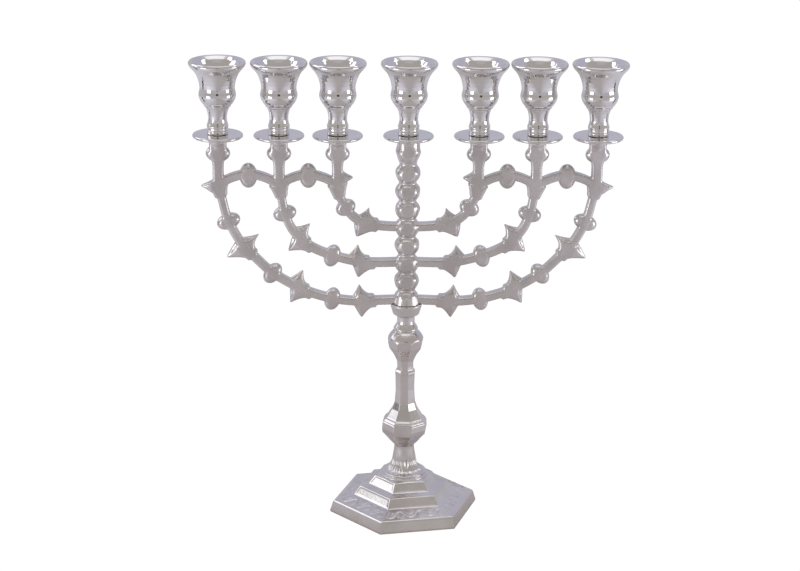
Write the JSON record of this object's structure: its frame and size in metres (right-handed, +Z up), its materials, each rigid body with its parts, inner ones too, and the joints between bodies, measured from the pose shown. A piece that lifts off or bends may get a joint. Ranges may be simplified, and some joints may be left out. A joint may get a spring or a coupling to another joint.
{
  "type": "menorah",
  "caption": "Branched candle holder: beaded centre shaft with curved branches, a cup over a drip pan on each post, knopped stem and stepped six-sided foot.",
  "frame": {"origin": "on the table, under the middle of the foot", "axes": "+Z up along the centre shaft, X along the row of cups, +Y towards the back, so the front faces -Y"},
  "size_m": [0.2744, 0.0928, 0.3],
  "materials": {
    "satin_nickel": "nickel plate over cast brass, satin",
    "polished_nickel": "nickel plate over turned brass, mirror polished",
    "bare_brass": "turned and threaded, bare",
    "zinc_steel": "zinc plated fastener"
  },
  "bodies": {
    "base": {"base": "satin_nickel"},
    "stem": {"stem": "satin_nickel"},
    "branches": {"branch_frame": "satin_nickel", "tie_rod": "zinc_steel"},
    "washer": {"base_washer": "zinc_steel"},
    "nut": {"base_nut": "zinc_steel"},
    "pan_1": {"drip_pan_1": "polished_nickel"},
    "pan_2": {"drip_pan_2": "polished_nickel"},
    "pan_3": {"drip_pan_3": "polished_nickel"},
    "pan_4": {"drip_pan_4": "polished_nickel"},
    "pan_5": {"drip_pan_5": "polished_nickel"},
    "pan_6": {"drip_pan_6": "polished_nickel"},
    "pan_7": {"drip_pan_7": "polished_nickel"},
    "cup_1": {"candle_cup_1": "polished_nickel", "cup_stud_1": "bare_brass"},
    "cup_2": {"candle_cup_2": "polished_nickel", "cup_stud_2": "bare_brass"},
    "cup_3": {"candle_cup_3": "polished_nickel", "cup_stud_3": "bare_brass"},
    "cup_4": {"candle_cup_4": "polished_nickel", "cup_stud_4": "bare_brass"},
    "cup_5": {"candle_cup_5": "polished_nickel", "cup_stud_5": "bare_brass"},
    "cup_6": {"candle_cup_6": "polished_nickel", "cup_stud_6": "bare_brass"},
    "cup_7": {"candle_cup_7": "polished_nickel", "cup_stud_7": "bare_brass"}
  },
  "joints": [
    {"name": "stem_turn", "type": "hinge", "parent": "base", "child": "stem", "pos_m": [0, 0, 0.0445], "axis": [0, 0, 1], "continuous": true},
    {"name": "branches_turn", "type": "hinge", "parent": "stem", "child": "branches", "pos_m": [0, 0, 0.1402], "axis": [0, 0, 1], "continuous": true},
    {"name": "nut_turn", "type": "hinge", "parent": "branches", "child": "washer", "pos_m": [0, 0, 0.015], "axis": [0, 0, -1], "range_deg": [0, 2880]},
    {"name": "nut_travel", "type": "slide", "parent": "washer", "child": "nut", "axis": [0, 0, -1], "range_m": [0, 0.0081]},
    {"name": "cup_1_turn", "type": "hinge", "parent": "branches", "child": "pan_1", "pos_m": [-0.1193, 0, 0.2506], "axis": [0, 0, 1], "range_deg": [0, 3600]},
    {"name": "cup_1_lift", "type": "slide", "parent": "pan_1", "child": "cup_1", "axis": [0, 0, 1], "range_m": [0, 0.0081]},
    {"name": "cup_2_turn", "type": "hinge", "parent": "branches", "child": "pan_2", "pos_m": [-0.0811, 0, 0.2506], "axis": [0, 0, 1], "range_deg": [0, 3600]},
    {"name": "cup_2_lift", "type": "slide", "parent": "pan_2", "child": "cup_2", "axis": [0, 0, 1], "range_m": [0, 0.0081]},
    {"name": "cup_3_turn", "type": "hinge", "parent": "branches", "child": "pan_3", "pos_m": [-0.0444, 0, 0.2506], "axis": [0, 0, 1], "range_deg": [0, 3600]},
    {"name": "cup_3_lift", "type": "slide", "parent": "pan_3", "child": "cup_3", "axis": [0, 0, 1], "range_m": [0, 0.0081]},
    {"name": "cup_4_turn", "type": "hinge", "parent": "branches", "child": "pan_4", "pos_m": [0, 0, 0.2506], "axis": [0, 0, 1], "range_deg": [0, 3600]},
    {"name": "cup_4_lift", "type": "slide", "parent": "pan_4", "child": "cup_4", "axis": [0, 0, 1], "range_m": [0, 0.0081]},
    {"name": "cup_5_turn", "type": "hinge", "parent": "branches", "child": "pan_5", "pos_m": [0.0444, 0, 0.2506], "axis": [0, 0, 1], "range_deg": [0, 3600]},
    {"name": "cup_5_lift", "type": "slide", "parent": "pan_5", "child": "cup_5", "axis": [0, 0, 1], "range_m": [0, 0.0081]},
    {"name": "cup_6_turn", "type": "hinge", "parent": "branches", "child": "pan_6", "pos_m": [0.0811, 0, 0.2506], "axis": [0, 0, 1], "range_deg": [0, 3600]},
    {"name": "cup_6_lift", "type": "slide", "parent": "pan_6", "child": "cup_6", "axis": [0, 0, 1], "range_m": [0, 0.0081]},
    {"name": "cup_7_turn", "type": "hinge", "parent": "branches", "child": "pan_7", "pos_m": [0.1193, 0, 0.2506], "axis": [0, 0, 1], "range_deg": [0, 3600]},
    {"name": "cup_7_lift", "type": "slide", "parent": "pan_7", "child": "cup_7", "axis": [0, 0, 1], "range_m": [0, 0.0081]}
  ],
  "couplings": [
    {"joint": "nut_travel", "follows": "nut_turn", "m_per_rad": 0.00015915},
    {"joint": "cup_1_lift", "follows": "cup_1_turn", "m_per_rad": 0.00012732},
    {"joint": "cup_2_lift", "follows": "cup_2_turn", "m_per_rad": 0.00012732},
    {"joint": "cup_3_lift", "follows": "cup_3_turn", "m_per_rad": 0.00012732},
    {"joint": "cup_4_lift", "follows": "cup_4_turn", "m_per_rad": 0.00012732},
    {"joint": "cup_5_lift", "follows": "cup_5_turn", "m_per_rad": 0.00012732},
    {"joint": "cup_6_lift", "follows": "cup_6_turn", "m_per_rad": 0.00012732},
    {"joint": "cup_7_lift", "follows": "cup_7_turn", "m_per_rad": 0.00012732}
  ]
}
